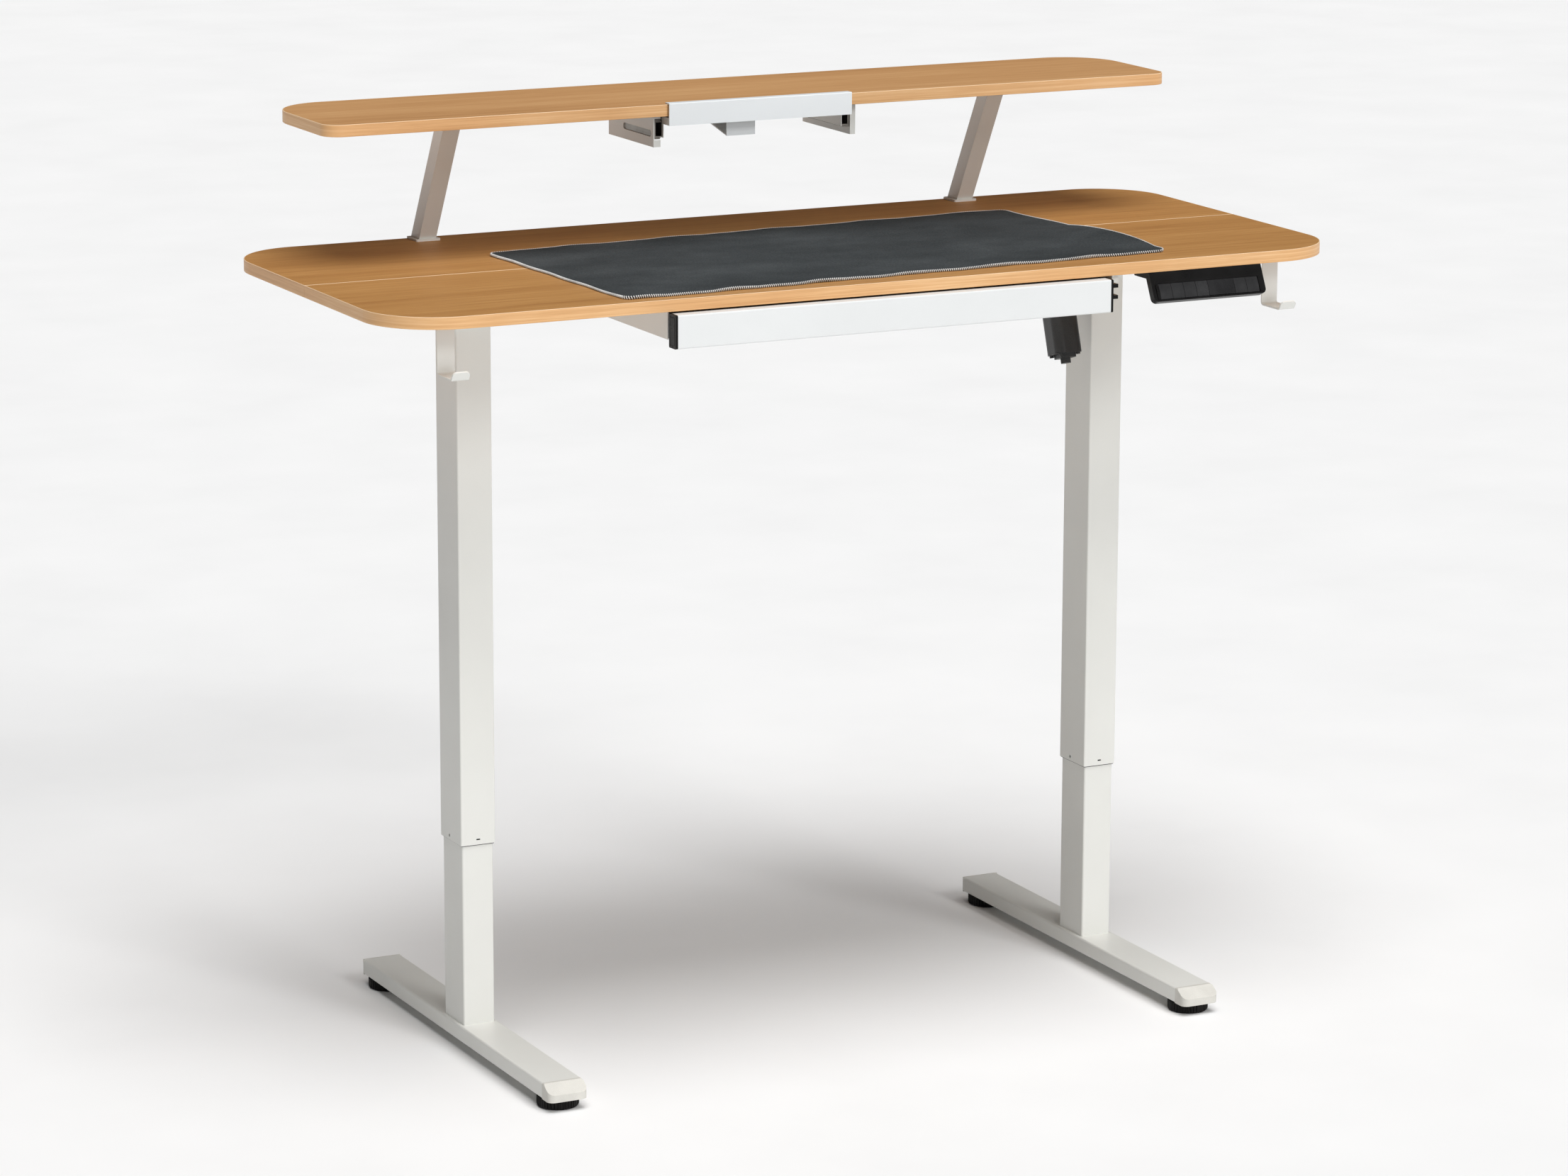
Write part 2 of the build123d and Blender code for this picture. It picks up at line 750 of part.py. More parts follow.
with BuildPart() as panel_housing:
    with BuildSketch(panel_plane):
        with Locations((0, -panel_h / 2)):
            Rectangle(panel_w, panel_h)
    extrude(amount=-panel_t)
    low_corners = panel_housing.edges().filter_by(lambda e: abs(e.length - panel_t) < 0.01)
    fillet(low_corners.group_by(Axis.Z)[0], panel_r)
    block(panel_x - panel_w / 2, panel_x + panel_w / 2, desk_front_y + 1,
          desk_front_y + panel_flange, desk_under_z - panel_flange_h, desk_under_z)
    with BuildSketch(panel_plane):
        with Locations((0, strip_y)):
            Rectangle(strip_w + 2 * key_gap, key_h + 2 * key_gap)
    extrude(amount=-pocket_d, mode=Mode.SUBTRACT)
    with BuildSketch(panel_plane):
        for side in (-1, 1):
            with Locations((side * (strip_w / 2 + key_gap + end_w / 2), strip_y)):
                RectangleRounded(end_w, key_h, 1)
    extrude(amount=key_proud)
save(panel_housing, "panel_housing")


def panel_block(x0, width, bottom, top, crown):
    """A key or the display: its top is arched about a crest line along X."""
    middle = panel_plane.from_local_coords((x0 + width / 2, strip_y, 0))
    profile_plane = Plane(origin=middle, x_dir=panel_plane.y_dir, z_dir=panel_plane.x_dir)
    half = key_h / 2
    with BuildPart() as key:
        with BuildSketch(profile_plane):
            with BuildLine():
                Polyline((-half, top - crown), (-half, bottom), (half, bottom),
                         (half, top - crown))
                ThreePointArc((half, top - crown), (0, top), (-half, top - crown))
            make_face()
        extrude(amount=width / 2, both=True)
    return key


key_names = ("up", "down", "preset_1", "preset_2", "preset_3", "preset_4")
key_x = strip_x0
for number, name in enumerate(key_names):
    if number == 4:
        save(panel_block(key_x, display_w, -pocket_d, key_proud, 0.5), "panel_display")
        key_x += display_w + key_gap
    save(panel_block(key_x, key_w, key_proud - key_t, key_proud, 0.8), f"key_{name}")
    key_x += key_w + key_gap

# Lower drawer: a lipped channel in front of an open sheet-metal box
face_back_y = drawer_front_y + drawer_face_d
face_low_z = drawer_face_top_z - drawer_face_h
box_low_z = drawer_box_top_z - drawer_box_h


def face_outline():
    """The outline of the drawer front, across its length."""
    with Locations((drawer_front_y + drawer_face_d / 2, drawer_face_top_z - drawer_face_h / 2)):
        RectangleRounded(drawer_face_d, drawer_face_h, 2)


with BuildPart() as drawer_front:
    face_mid_y = drawer_front_y + drawer_face_d / 2
    face_mid_z = drawer_face_top_z - drawer_face_h / 2
    with BuildSketch(Plane.YZ.offset(drawer_x0 + drawer_cap_w)):
        face_outline()
        with Locations((face_mid_y, face_mid_z)):
            Rectangle(drawer_face_d - 2 * drawer_face_t, drawer_face_h - 2 * drawer_face_t,
                      mode=Mode.SUBTRACT)
        with Locations((face_back_y, face_mid_z)):
            Rectangle(4 * drawer_face_t, drawer_face_h - 2 * drawer_lip, mode=Mode.SUBTRACT)
    extrude(amount=drawer_x1 - drawer_x0 - 2 * drawer_cap_w)
save(drawer_front, "drawer_front")

with BuildPart() as drawer_end_caps:
    inset = drawer_face_t + plug_gap
    for end_x, inward in ((drawer_x0, 1), (drawer_x1, -1)):
        cap_x = end_x + inward * drawer_cap_w
        with BuildSketch(Plane.YZ.offset(end_x)):
            face_outline()
        extrude(amount=inward * drawer_cap_w)
        block(cap_x, cap_x + inward * 8, drawer_front_y + inset, face_back_y - inset,
              face_low_z + inset, drawer_face_top_z - inset)
        block(cap_x, cap_x + inward * 8, drawer_front_y + inset + 2, face_back_y - inset - 2,
              face_low_z + inset + 2, drawer_face_top_z - inset - 2, Mode.SUBTRACT)
        # A shallow frame moulded in the outer face
        with BuildSketch(Plane.YZ.offset(end_x)):
            with Locations((face_mid_y, face_mid_z)):
                RectangleRounded(drawer_face_d - 6, drawer_face_h - 6, 1.5)
                RectangleRounded(drawer_face_d - 7.6, drawer_face_h - 7.6, 1, mode=Mode.SUBTRACT)
        extrude(amount=inward * 0.5, mode=Mode.SUBTRACT)
save(drawer_end_caps, "drawer_end_caps")

with BuildPart() as drawer_box:
    block(box_left_x, box_right_x, face_back_y, drawer_back_y, box_low_z, drawer_box_top_z)
    block(box_left_x + sheet_t, box_right_x - sheet_t, face_back_y + sheet_t,
          drawer_back_y - sheet_t, box_low_z + sheet_t, drawer_box_top_z + 1, Mode.SUBTRACT)
save(drawer_box, "drawer_box")

with BuildPart() as drawer_hangers:
    hanger_low_z = desk_under_z - hanger_drop
    for x in (hanger_left_x, hanger_right_x):
        block(x, x + hanger_t, hanger_front_y, hanger_back_y, hanger_low_z, desk_under_z)
        block(x, x + hanger_t + hanger_flange, hanger_front_y, hanger_back_y,
              desk_under_z - hanger_t, desk_under_z)
    # The right hanger's web also carries a small tab on its outer side
    block(hanger_right_x, hanger_right_x + hanger_t + hanger_lip, hanger_front_y,
          hanger_front_y + hanger_t, hanger_low_z + 26, hanger_low_z + 34)
    screw_holes(hanger_screws)
save(drawer_hangers, "drawer_hangers")

with BuildPart() as drawer_bumpers:
    for z in (hanger_low_z + 4, hanger_low_z + 19):
        block(hanger_right_x + hanger_t, hanger_right_x + hanger_t + hanger_lip, hanger_front_y,
              hanger_front_y + bumper_l, z, z + bumper_h)
save(drawer_bumpers, "drawer_bumpers")


def channel(hanger_x, toward, u0, u1, web_at, inset, thick, y0, y1, low_z):
    """One channel of a slide, measured from the hanger's face towards the drawer."""
    z0 = low_z + inset
    z1 = low_z + slide_h - inset
    inner0 = u0 + thick if web_at == "hanger" else u0 - 1
    inner1 = u1 + 1 if web_at == "hanger" else u1 - thick
    block(hanger_x + toward * u0, hanger_x + toward * u1, y0, y1, z0, z1)
    block(hanger_x + toward * inner0, hanger_x + toward * inner1, y0 - 1, y1 + 1, z0 + thick,
          z1 - thick, Mode.SUBTRACT)


def slide_pair(name, hanger_xs, y0, length, low_z):
    """The fixed, middle and moving channels of a pair of drawer slides."""
    mid_in = slide_web + slide_play
    last_in = mid_in + 1 + slide_play
    pieces = (
        ("outer", 0, slide_w - 3.2, "hanger", 0, slide_web),
        ("mid", mid_in, slide_w - 2.2, "hanger", mid_in, 1),
        ("inner", last_in, slide_w, "drawer", last_in, 1),
    )
    for piece, u0, u1, web_at, inset, thick in pieces:
        with BuildPart() as channels:
            for hanger_x, toward in hanger_xs:
                with BuildPart(mode=Mode.PRIVATE) as one:
                    channel(hanger_x, toward, u0, u1, web_at, inset, thick, y0, y0 + length,
                            low_z)
                add(one.part)
        save(channels, f"{name}_{piece}")


slide_front_y = hanger_front_y + 1
lower_hangers = ((hanger_left_x + hanger_t, 1), (hanger_right_x, -1))
slide_pair("drawer_slide", lower_hangers, slide_front_y, slide_l, slide_z)

# Shelf drawer: a shallow tray behind a folded front plate
tray_front_y = shelf_front_y - 5 + plate_t
tray_floor_z = shelf_under_z - tray_floor_drop
lid_z = shelf_top_z + lid_gap

with BuildPart() as shelf_drawer_front:
    front_x0 = tray_left_x - plate_left
    front_x1 = tray_right_x + plate_right
    block(front_x0, front_x1, tray_front_y - plate_t, tray_front_y, tray_floor_z, lid_z + plate_t)
    block(front_x0, front_x1, tray_front_y - plate_t, shelf_front_y + 8, lid_z, lid_z + plate_t)
    fillet(shelf_drawer_front.edges().filter_by(Axis.X).group_by(Axis.Z)[-1].sort_by(Axis.Y)[0], 1)
save(shelf_drawer_front, "shelf_drawer_front")

with BuildPart() as shelf_drawer_tray:
    tray_back_y = tray_front_y + tray_l
    block(tray_left_x, tray_right_x, tray_front_y, tray_back_y, tray_floor_z,
          tray_floor_z + tray_wall)
    block(tray_left_x + sheet_t, tray_right_x - sheet_t, tray_front_y + sheet_t,
          tray_back_y - sheet_t, tray_floor_z + sheet_t, tray_floor_z + tray_wall + 1,
          Mode.SUBTRACT)
    skirt_z = shelf_under_z - tray_skirt_drop
    block(tray_left_x, tray_left_x + sheet_t, shelf_hanger_front_y, tray_back_y, skirt_z,
          tray_floor_z)
    block(tray_right_x - sheet_t, tray_right_x, shelf_hanger_front_y, tray_back_y, skirt_z,
          tray_floor_z)
save(shelf_drawer_tray, "shelf_drawer_tray")

with BuildPart() as shelf_drawer_pull:
    pull_y = tray_front_y + 18.5
    pull_z = tray_floor_z - pull_h
    pull_back_y = pull_y + pull_l
    pull_back_z = tray_floor_z - pull_back_h
    with BuildSketch(Plane.YZ.offset(pull_x)):
        Polygon(
            (pull_y, pull_z),
            (pull_y, tray_floor_z),
            (pull_back_y, tray_floor_z),
            (pull_back_y, pull_back_z),
            align=None,
        )
        Polygon(
            (pull_y + pull_t, pull_z + 1.3 * pull_t),
            (pull_y + pull_t, tray_floor_z - pull_t),
            (pull_back_y - pull_t, tray_floor_z - pull_t),
            (pull_back_y - pull_t, pull_back_z + pull_t),
            align=None,
            mode=Mode.SUBTRACT,
        )
    extrude(amount=pull_w / 2, both=True)
save(shelf_drawer_pull, "shelf_drawer_pull")

with BuildPart() as shelf_drawer_hangers:
    hanger_low_z = shelf_under_z - 43.3
    slide_gap_z0 = shelf_under_z - shelf_slide_drop - 1
    slide_gap_z1 = slide_gap_z0 + slide_h + 2
    left_x = shelf_hanger_left_x
    right_x = shelf_hanger_right_x
    y0 = shelf_hanger_front_y
    y1 = shelf_hanger_back_y
    block(left_x - hanger_t, left_x, y0, y1, hanger_low_z, shelf_under_z)
    block(left_x - 20, left_x, y0, y1, shelf_under_z - hanger_t, shelf_under_z)
    block(left_x - hanger_t, left_x + 9, y0, y0 + hanger_t, hanger_low_z, shelf_under_z)
    block(left_x, left_x + 10, y0 - 1, y0 + hanger_t + 1, slide_gap_z0, slide_gap_z1,
          Mode.SUBTRACT)
    block(right_x, right_x + hanger_t, y0, y1, hanger_low_z, shelf_under_z)
    block(right_x, right_x + 20, y0, y1, shelf_under_z - hanger_t, shelf_under_z)
    block(right_x, right_x + 8, y0, y0 + hanger_t, hanger_low_z, shelf_under_z)
    window_z = shelf_under_z - 25.5
    for x in (left_x, right_x):
        with BuildSketch(Plane.YZ.offset(x - hanger_t - 1)):
            with Locations(((y0 + y1) / 2 - 20, window_z)):
                SlotOverall(90, 9)
        extrude(amount=2 * hanger_t + 2, mode=Mode.SUBTRACT)
    screw_holes(shelf_screws)
save(shelf_drawer_hangers, "shelf_drawer_hangers")

upper_hangers = ((shelf_hanger_left_x, 1), (shelf_hanger_right_x, -1))
slide_pair("shelf_slide", upper_hangers, shelf_hanger_front_y + hanger_t + 1, shelf_slide_l,
           shelf_under_z - shelf_slide_drop)
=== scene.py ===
from math import cos, hypot, pi, radians, sin

import bmesh
import bpy
from mathutils import Matrix, Vector, noise


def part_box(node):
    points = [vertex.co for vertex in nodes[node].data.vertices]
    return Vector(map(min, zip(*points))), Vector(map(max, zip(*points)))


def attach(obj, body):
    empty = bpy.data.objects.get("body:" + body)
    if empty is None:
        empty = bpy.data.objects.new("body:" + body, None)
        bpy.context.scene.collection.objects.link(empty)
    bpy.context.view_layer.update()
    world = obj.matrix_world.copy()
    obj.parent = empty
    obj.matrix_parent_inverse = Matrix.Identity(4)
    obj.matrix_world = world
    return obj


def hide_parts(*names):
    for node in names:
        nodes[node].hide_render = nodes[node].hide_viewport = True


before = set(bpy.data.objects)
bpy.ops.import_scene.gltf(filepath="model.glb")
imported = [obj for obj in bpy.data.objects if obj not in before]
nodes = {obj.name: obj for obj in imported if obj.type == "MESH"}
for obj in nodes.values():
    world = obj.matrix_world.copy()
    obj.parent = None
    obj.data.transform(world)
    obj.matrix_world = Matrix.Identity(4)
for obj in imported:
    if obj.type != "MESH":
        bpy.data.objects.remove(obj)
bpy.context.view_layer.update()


def piece_middle(name):
    """The middle of a CAD piece, in its own coordinates."""
    return sum((Vector(corner) for corner in nodes[name].bound_box), Vector()) / 8


# The four pads stand at plus and minus PAD_X, PAD_HALF_Y either side of PAD_MIDDLE_Y.
PAD_FRONT = piece_middle("leveling_pad_left_front")
PAD_BACK = piece_middle("leveling_pad_left_back")
PAD_X = abs(PAD_FRONT.x)
PAD_MIDDLE_Y = (PAD_FRONT.y + PAD_BACK.y) / 2
PAD_HALF_Y = abs(PAD_BACK.y - PAD_FRONT.y) / 2


# ---------------------------------------------------------------- materials
def srgb(r, g, b):
    """A colour given as 0 to 255 display values, as the shader's linear numbers."""
    out = []
    for v in (r, g, b):
        v = v / 255
        out.append(v / 12.92 if v <= 0.04045 else ((v + 0.055) / 1.055) ** 2.4)
    return (*out, 1.0)


class Shader:
    """A principled material with short helpers for its node tree."""

    def __init__(self, name, roughness=0.5, metallic=0.0, specular=0.5, coat=0.0):
        self.mat = bpy.data.materials.new(name)
        self.mat.use_nodes = True
        self.tree = self.mat.node_tree
        self.bsdf = self.tree.nodes["Principled BSDF"]
        self.bsdf.inputs["Roughness"].default_value = roughness
        self.bsdf.inputs["Metallic"].default_value = metallic
        self.bsdf.inputs["Specular IOR Level"].default_value = specular
        self.bsdf.inputs["Coat Weight"].default_value = coat
        self.object_coords = self.tree.nodes.new("ShaderNodeTexCoord").outputs["Object"]

    def link(self, a, b):
        self.tree.links.new(a, b)

    def mapped(self, scale, turn=(0, 0, 0)):
        node = self.tree.nodes.new("ShaderNodeMapping")
        node.inputs["Scale"].default_value = scale
        node.inputs["Rotation"].default_value = turn
        self.link(self.object_coords, node.inputs["Vector"])
        return node.outputs["Vector"]

    def noise(self, scale, detail=4.0, rough=0.55, turn=(0, 0, 0), distort=0.0):
        node = self.tree.nodes.new("ShaderNodeTexNoise")
        node.inputs["Scale"].default_value = 1.0
        node.inputs["Detail"].default_value = detail
        node.inputs["Roughness"].default_value = rough
        node.inputs["Distortion"].default_value = distort
        self.link(self.mapped(scale, turn), node.inputs["Vector"])
        return node.outputs["Fac"]

    def wave(self, scale, turn, distort=0.0):
        node = self.tree.nodes.new("ShaderNodeTexWave")
        node.inputs["Scale"].default_value = scale
        node.inputs["Distortion"].default_value = distort
        self.link(self.mapped((1, 1, 1), turn), node.inputs["Vector"])
        return node.outputs["Fac"]

    def maths(self, kind, a, b=0):
        node = self.tree.nodes.new("ShaderNodeMath")
        node.operation = kind
        for socket, value in zip(node.inputs, (a, b)):
            if isinstance(value, (int, float)):
                socket.default_value = value
            else:
                self.link(value, socket)
        return node.outputs["Value"]

    def add(self, *weighted):
        """The sum of (value, weight) pairs."""
        total = None
        for value, weight in weighted:
            part = self.maths("MULTIPLY", value, weight)
            total = part if total is None else self.maths("ADD", total, part)
        return total

    def ramp(self, value, *stops):
        node = self.tree.nodes.new("ShaderNodeValToRGB")
        band = node.color_ramp
        while len(band.elements) < len(stops):
            band.elements.new(0.5)
        for element, (place, colour) in zip(band.elements, stops):
            element.position = place
            element.color = colour
        self.link(value, node.inputs["Fac"])
        return node.outputs["Color"]

    def spread(self, value, low, high):
        """Maps 0..1 to low..high."""
        node = self.tree.nodes.new("ShaderNodeMapRange")
        node.inputs["To Min"].default_value = low
        node.inputs["To Max"].default_value = high
        self.link(value, node.inputs["Value"])
        return node.outputs["Result"]

    def blend(self, factor, a, b):
        node = self.tree.nodes.new("ShaderNodeMix")
        node.data_type = "RGBA"
        self.link(factor, node.inputs[0])
        for socket, value in ((node.inputs[6], a), (node.inputs[7], b)):
            if isinstance(value, tuple):
                socket.default_value = value
            else:
                self.link(value, socket)
        return node.outputs[2]

    def normal_part(self, axis):
        """How far the surface faces along an axis of the desk."""
        geometry = self.tree.nodes.new("ShaderNodeNewGeometry")
        split = self.tree.nodes.new("ShaderNodeSeparateXYZ")
        self.link(geometry.outputs["Normal"], split.inputs["Vector"])
        return split.outputs[axis]

    def place(self, axis):
        split = self.tree.nodes.new("ShaderNodeSeparateXYZ")
        self.link(self.object_coords, split.inputs["Vector"])
        return split.outputs[axis]

    def colour(self, socket):
        self.link(socket, self.bsdf.inputs["Base Color"])

    def roughness(self, socket):
        self.link(socket, self.bsdf.inputs["Roughness"])

    def bump(self, height, strength, distance):
        node = self.tree.nodes.new("ShaderNodeBump")
        node.inputs["Strength"].default_value = strength
        node.inputs["Distance"].default_value = distance
        self.link(height, node.inputs["Height"])
        self.link(node.outputs["Normal"], self.bsdf.inputs["Normal"])


def powder_coat(name, base, roughness=0.42):
    """Fine-textured paint: a little mottled, with an orange-peel surface."""
    s = Shader(name, roughness=roughness, specular=0.45)
    peel = s.noise((1500, 1500, 1500), detail=3)
    cloud = s.noise((7, 7, 7), detail=3)
    mix = s.add((peel, 0.35), (cloud, 0.65))
    mottle = 3
    dark = srgb(*(v - mottle for v in base))
    light = srgb(*(min(255, v + mottle) for v in base))
    s.colour(s.ramp(mix, (0.3, dark), (0.7, light)))
    s.roughness(s.spread(s.noise((22, 22, 22), detail=4), roughness - 0.07, roughness + 0.07))
    s.bump(peel, 0.16, 0.0004)
    return s.mat


def laminate(name, dark, mid, light):
    """Wood-print laminate with its grain along X."""
    s = Shader(name, roughness=0.5, specular=0.35)
    bands = s.noise((1.3, 22, 22), detail=5, rough=0.6, distort=0.3)
    streaks = s.noise((5, 210, 210), detail=5, rough=0.65)
    fibres = s.noise((16, 900, 900), detail=3, rough=0.6)
    pores = s.noise((30, 1300, 1300), detail=2)
    grain = s.add((bands, 0.34), (streaks, 0.38), (fibres, 0.28))
    tint = s.ramp(grain, (0.36, dark), (0.5, mid), (0.64, light))
    pore_mask = s.ramp(pores, (0.62, (0, 0, 0, 1)), (0.74, (1, 1, 1, 1)))
    faint = s.maths("MULTIPLY", pore_mask, 0.35)
    s.colour(s.blend(faint, tint, dark))
    s.roughness(s.spread(grain, 0.44, 0.56))
    s.bump(s.add((fibres, 0.6), (pore_mask, -0.4)), 0.12, 0.0003)
    return s.mat


def edge_band(name, dark, mid, light, rim):
    """Edging tape: grain that runs along the edge, and a painted highlight that turns its
    up-facing faces pale cream.
    """
    s = Shader(name, roughness=0.42, specular=0.45)
    streaks = s.noise((3.5, 3.5, 330), detail=5, rough=0.6, distort=0.25)
    fibres = s.noise((20, 20, 1200), detail=3, rough=0.6)
    cloud = s.noise((4, 4, 12), detail=3)
    grain = s.add((streaks, 0.45), (fibres, 0.25), (cloud, 0.3))
    tint = s.ramp(grain, (0.36, dark), (0.5, mid), (0.64, light))
    # Painted highlight: faces that look upward are blended towards the pale rim colour.
    top = s.ramp(s.normal_part("Z"), (0.25, (0, 0, 0, 1)), (0.6, (1, 1, 1, 1)))
    s.colour(s.blend(top, tint, rim))
    s.roughness(s.spread(grain, 0.36, 0.48))
    s.bump(fibres, 0.08, 0.0003)
    return s.mat


def moulded(name, dark, light, roughness, grain_size=0.0009, depth=0.25, coat=0.0, shine=0.45):
    """Moulded plastic with a spark-eroded grain."""
    s = Shader(name, roughness=roughness, specular=shine, coat=coat)
    f = 1 / grain_size
    pits = s.noise((f, f, f), detail=2, rough=0.5)
    cloud = s.noise((30, 30, 30), detail=4)
    s.colour(s.ramp(s.add((pits, 0.4), (cloud, 0.6)), (0.35, dark), (0.65, light)))
    s.roughness(s.spread(cloud, roughness - 0.06, roughness + 0.08))
    s.bump(pits, depth, 0.0003)
    return s.mat


def ribbed_rubber(name, dark, light, ribs):
    """Rubber pads with upright ribs round each of the four, which stand evenly about the desk;
    their grooves carry painted shade and their crests a painted highlight.
    """
    s = Shader(name, roughness=0.6, specular=0.2)
    along_x = s.maths("SUBTRACT", s.maths("ABSOLUTE", s.place(0)), PAD_X)
    from_middle = s.maths("ABSOLUTE", s.maths("SUBTRACT", s.place(1), PAD_MIDDLE_Y))
    along_y = s.maths("SUBTRACT", from_middle, PAD_HALF_Y)
    turn = s.maths("ARCTAN2", along_y, along_x)
    rib_relief_and_shade = s.maths("SINE", s.maths("MULTIPLY", turn, ribs))
    # Painted shade and highlight: the colour follows the ribs, dark in the grooves and light on
    # the crests.
    s.colour(s.ramp(s.spread(rib_relief_and_shade, 0.5, 1.0), (0.3, dark), (0.9, light)))
    s.bump(rib_relief_and_shade, 0.8, 0.0008)
    return s.mat


def metal(name, dark, light, roughness, along="X"):
    """Bright metal with fine drawing lines along one axis."""
    s = Shader(name, roughness=roughness, metallic=1.0)
    slow, fast = 12, 1400
    scale = tuple(slow if axis == along else fast for axis in "XYZ")
    lines = s.noise(scale, detail=3, rough=0.6)
    cloud = s.noise((35, 35, 35), detail=4)
    s.colour(s.ramp(s.add((lines, 0.5), (cloud, 0.5)), (0.35, dark), (0.65, light)))
    s.roughness(s.spread(lines, roughness - 0.08, roughness + 0.12))
    s.bump(lines, 0.12, 0.0002)
    return s.mat


def twill(name, dark, mid, light):
    """Fine woven cloth face with diagonal ribs."""
    s = Shader(name, roughness=0.92, specular=0.12)
    ribs = s.wave(145, (0, 0, radians(58)), distort=0.6)
    cross = s.wave(190, (0, 0, radians(-30)), distort=0.4)
    weave = s.add((ribs, 0.6), (cross, 0.4))
    lint = s.noise((420, 420, 420), detail=3)
    cloud = s.noise((6, 9, 9), detail=5, rough=0.62)
    tone = s.add((weave, 0.25), (lint, 0.35), (cloud, 0.4))
    s.colour(s.ramp(tone, (0.3, dark), (0.5, mid), (0.72, light)))
    s.bump(s.add((weave, 0.8), (lint, 0.4)), 0.5, 0.0005)
    return s.mat


WHITE = powder_coat("white_powder_coat", (230, 230, 225))
WHITE_DRAWER = powder_coat("drawer_powder_coat", (229, 231, 231), roughness=0.36)
WHITE_SHELF = powder_coat("shelf_drawer_powder_coat", (241, 245, 247), roughness=0.36)
BOARD = laminate("oak_laminate", srgb(164, 113, 59), srgb(186, 135, 77), srgb(203, 154, 95))
# The shelf's laminate is the desktop's wood print made lighter; the extra lightness is a painted
# sheen for the shelf top's grazing reflection.
SHELF_GRAIN_AND_SHEEN = laminate("shelf_laminate_painted_sheen", srgb(182, 132, 82), srgb(203, 153, 101), srgb(218, 172, 120))
# The edging's last colour is its painted highlight on up-facing faces.
BAND = edge_band("oak_edge_band", srgb(208, 154, 99), srgb(227, 177, 122), srgb(241, 199, 149),
                 srgb(250, 222, 186))
CAP = moulded("warm_white_plastic", srgb(206, 204, 197), srgb(221, 219, 212), 0.5, depth=0.12)
BLACK = moulded("black_plastic", srgb(7, 6, 6), srgb(13, 12, 12), 0.28, shine=0.18)
KEY = moulded("key_plastic", srgb(36, 36, 37), srgb(48, 48, 49), 0.24, depth=0.1, shine=0.3)
RUBBER = ribbed_rubber("pad_rubber", srgb(4, 3, 3), srgb(26, 24, 22), 44)
MOTOR = moulded("motor_plastic", srgb(38, 38, 38), srgb(56, 56, 56), 0.36, grain_size=0.0012)
GLASS = moulded("display_window", srgb(33, 33, 34), srgb(43, 43, 44), 0.16, depth=0.02, coat=0.6,
                shine=0.3)
# The slides' zinc grey is darkened: partly the steel's own colour, partly painted shade for the
# shadowed slide seen through the bracket's slot.
ZINC_AND_SHADE = metal("zinc_steel", srgb(118, 114, 108), srgb(160, 155, 148), 0.42, along="Y")
SHAFT = metal("drawn_steel", srgb(140, 142, 145), srgb(190, 192, 195), 0.3, along="X")
SCREW = metal("screw_steel", srgb(140, 142, 145), srgb(190, 192, 195), 0.3, along="Z")
NUT = moulded("nut_plastic", srgb(206, 202, 190), srgb(222, 218, 206), 0.5)
CLOTH = twill("mat_cloth", srgb(39, 42, 43), srgb(62, 66, 68), srgb(90, 94, 96))
THREAD = moulded("pale_thread", srgb(196, 196, 194), srgb(238, 238, 236), 0.75,
                 grain_size=0.0006, depth=0.5)
DARK_THREAD = moulded("dark_thread", srgb(26, 27, 29), srgb(44, 45, 48), 0.8,
                      grain_size=0.0006, depth=0.5)

painted = {
    BOARD: ("desktop_front_board", "desktop_rear_board"),
    SHELF_GRAIN_AND_SHEEN: ("shelf_board",),
    BAND: ("desktop_edging", "shelf_edging"),
    WHITE_DRAWER: ("drawer_front",),
    WHITE_SHELF: ("shelf_drawer_front", "shelf_drawer_pull"),
    CAP: ("foot_caps_left", "foot_caps_right"),
    # Painted shade: the black drawer_bumpers are dark blocks put in the shaded gaps beside the
    # drawer's right end, and the glide sleeves' black edge below the outer tubes is partly their
    # own black plastic, partly painted shade for the gap there.
    BLACK: ("panel_housing", "control_box", "drawer_end_caps", "glide_sleeves", "drawer_bumpers"),
    KEY: tuple(name for name in nodes if name.startswith("key_")),
    RUBBER: tuple(name for name in nodes if name.startswith("leveling_pad")),
    MOTOR: ("motor_housing",),
    GLASS: ("panel_display",),
    ZINC_AND_SHADE: tuple(name for name in nodes if "_slide_" in name),
    SHAFT: ("hex_shaft", "drive_gears", "motor_worm", "motor_can"),
    SCREW: ("lead_screw_left", "lead_screw_right", "wood_screws"),
    NUT: ("lead_nut_left", "lead_nut_right"),
    CLOTH: ("desk_mat",),
}
finish_of = {name: mat for mat, names in painted.items() for name in names}
for name, obj in nodes.items():
    obj.data.materials.clear()
    obj.data.materials.append(finish_of.get(name, WHITE))


# ---------------------------------------------------------------- mesh helpers
def new_piece(name, bm, mats):
    """A smooth-shaded object from a built mesh."""
    mesh = bpy.data.meshes.new(name)
    bm.to_mesh(mesh)
    bm.free()
    for mat in mats:
        mesh.materials.append(mat)
    for polygon in mesh.polygons:
        polygon.use_smooth = True
    obj = bpy.data.objects.new(name, mesh)
    bpy.context.scene.collection.objects.link(obj)
    return obj


